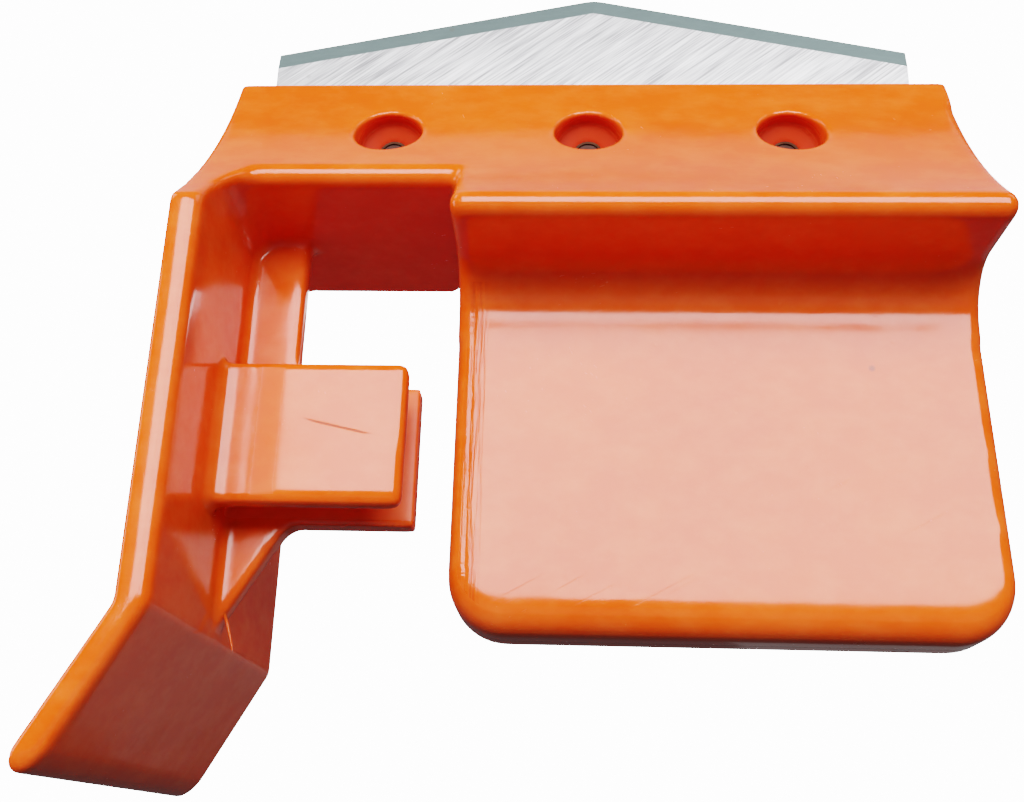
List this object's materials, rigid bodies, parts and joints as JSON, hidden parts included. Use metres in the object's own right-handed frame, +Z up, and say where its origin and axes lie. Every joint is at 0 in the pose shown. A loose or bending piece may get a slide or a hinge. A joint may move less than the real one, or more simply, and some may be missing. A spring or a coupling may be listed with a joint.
{
  "type": "citrus juicer blade holder",
  "caption": "Orange moulded holder with hollow flanks, a wedge plate and a forked arm, gripping a low peaked cutting blade that lifts out of its ridge.",
  "frame": {"origin": "centre of the flat bottom of the wedge plate", "axes": "+X along the bar, away from the arm; +Y to the back, where the screw heads are; +Z up, towards the blade's edge"},
  "size_m": [0.1321, 0.0688, 0.1352],
  "materials": {
    "moulding": "glossy moulded plastic with a slight inner glow, fine scratches and mould marks",
    "blade_steel": "brushed stainless steel with a diagonal grain and a matte grey-green ground bevel",
    "fastener_steel": "satin stainless steel",
    "nut_brass": "dull turned brass"
  },
  "bodies": {
    "holder": {"holder": "moulding", "nut_left": "nut_brass", "nut_middle": "nut_brass", "nut_right": "nut_brass"},
    "blade": {"blade": "blade_steel"},
    "washer_left": {"washer_left": "fastener_steel"},
    "screw_left": {"screw_left": "fastener_steel"},
    "washer_middle": {"washer_middle": "fastener_steel"},
    "screw_middle": {"screw_middle": "fastener_steel"},
    "washer_right": {"washer_right": "fastener_steel"},
    "screw_right": {"screw_right": "fastener_steel"}
  },
  "joints": [
    {"name": "blade_lift", "type": "slide", "parent": "holder", "child": "blade", "axis": [0, 0, 1], "range_m": [0, 0.024]},
    {"name": "washer_left_travel", "type": "slide", "parent": "holder", "child": "washer_left", "axis": [0, 1, 0], "range_m": [0, 0.012]},
    {"name": "screw_left_turn", "type": "hinge", "parent": "washer_left", "child": "screw_left", "pos_m": [-0.0525, 0.005, 0.0802], "axis": [0, 1, 0], "range_deg": [0, 6172]},
    {"name": "washer_middle_travel", "type": "slide", "parent": "holder", "child": "washer_middle", "axis": [0, 1, 0], "range_m": [0, 0.012]},
    {"name": "screw_middle_turn", "type": "hinge", "parent": "washer_middle", "child": "screw_middle", "pos_m": [-0.02, 0.005, 0.0802], "axis": [0, 1, 0], "range_deg": [0, 6172]},
    {"name": "washer_right_travel", "type": "slide", "parent": "holder", "child": "washer_right", "axis": [0, 1, 0], "range_m": [0, 0.012]},
    {"name": "screw_right_turn", "type": "hinge", "parent": "washer_right", "child": "screw_right", "pos_m": [0.0125, 0.005, 0.0802], "axis": [0, 1, 0], "range_deg": [0, 6172]}
  ],
  "couplings": [
    {"joint": "screw_left_turn", "follows": "washer_left_travel", "rad_per_m": 8976},
    {"joint": "screw_middle_turn", "follows": "washer_middle_travel", "rad_per_m": 8976},
    {"joint": "screw_right_turn", "follows": "washer_right_travel", "rad_per_m": 8976}
  ]
}
